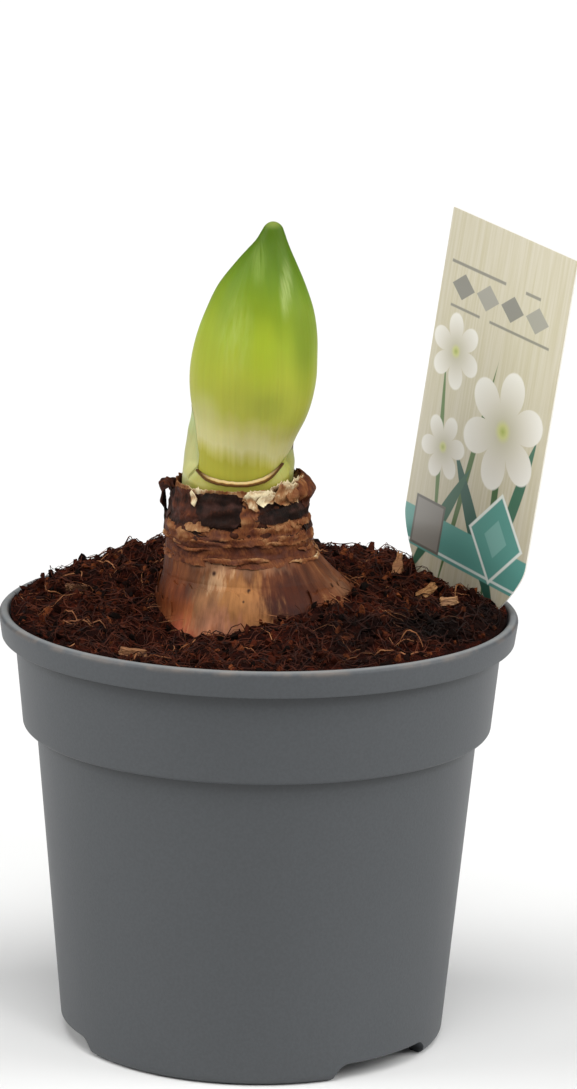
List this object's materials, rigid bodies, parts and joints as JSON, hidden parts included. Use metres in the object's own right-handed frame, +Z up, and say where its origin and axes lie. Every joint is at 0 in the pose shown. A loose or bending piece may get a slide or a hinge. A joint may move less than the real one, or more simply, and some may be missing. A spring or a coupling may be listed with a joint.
{
  "type": "potted amaryllis bulb",
  "caption": "Amaryllis bulb with a closed green flower bud, half buried in potting mix in a round plastic nursery pot, with a plant label on a stake.",
  "frame": {"origin": "middle of the bottom of the whole object's box, on the surface that the pot stands on", "axes": "+Z up along the pot's axis; -Y is the front that the picture shows; +X to the right, where the label stands"},
  "size_m": [0.1416, 0.13, 0.2078],
  "materials": {
    "pot_plastic": "satin moulded polypropylene, blue-grey",
    "potting_mix": "damp coir and peat, dark red-brown, rough",
    "bulb_skin": "dry papery skin, copper with streaks, slight sheen",
    "root_flesh": "fleshy, off-white, matte",
    "dark_tunic": "dried papery tunic, near black-brown",
    "brown_tunic": "dried papery tunic, wrinkled, brown",
    "dried_scale": "dried inner scale, cream, crumpled",
    "green_scale": "smooth fleshy scale, yellow-green, with a dried cut edge",
    "young_leaf": "smooth fleshy leaf, pale green",
    "bud_spathe": "smooth waxy spathe, green above and cream below, fine ribs",
    "label_card": null,
    "bark": "raw tan bark splinter"
  },
  "bodies": {
    "root": {"nursery_pot": "pot_plastic", "potting_mix": "potting_mix", "bulb": "bulb_skin", "basal_roots": "root_flesh", "tunic_collar": "dark_tunic", "tunic_band_upper": "brown_tunic", "tunic_band_lower": "brown_tunic", "tunic_strip_left": "dark_tunic", "tunic_strip_right": "brown_tunic", "neck_scale": "dried_scale", "front_scale": "green_scale", "leaf_left": "young_leaf", "leaf_right": "young_leaf", "flower_bud": "bud_spathe", "plant_label": "label_card", "bark_chip_1": "bark", "bark_chip_2": "bark", "bark_chip_3": "bark", "bark_chip_4": "bark", "bark_chip_5": "bark", "bark_chip_6": "bark"}
  },
  "joints": []
}
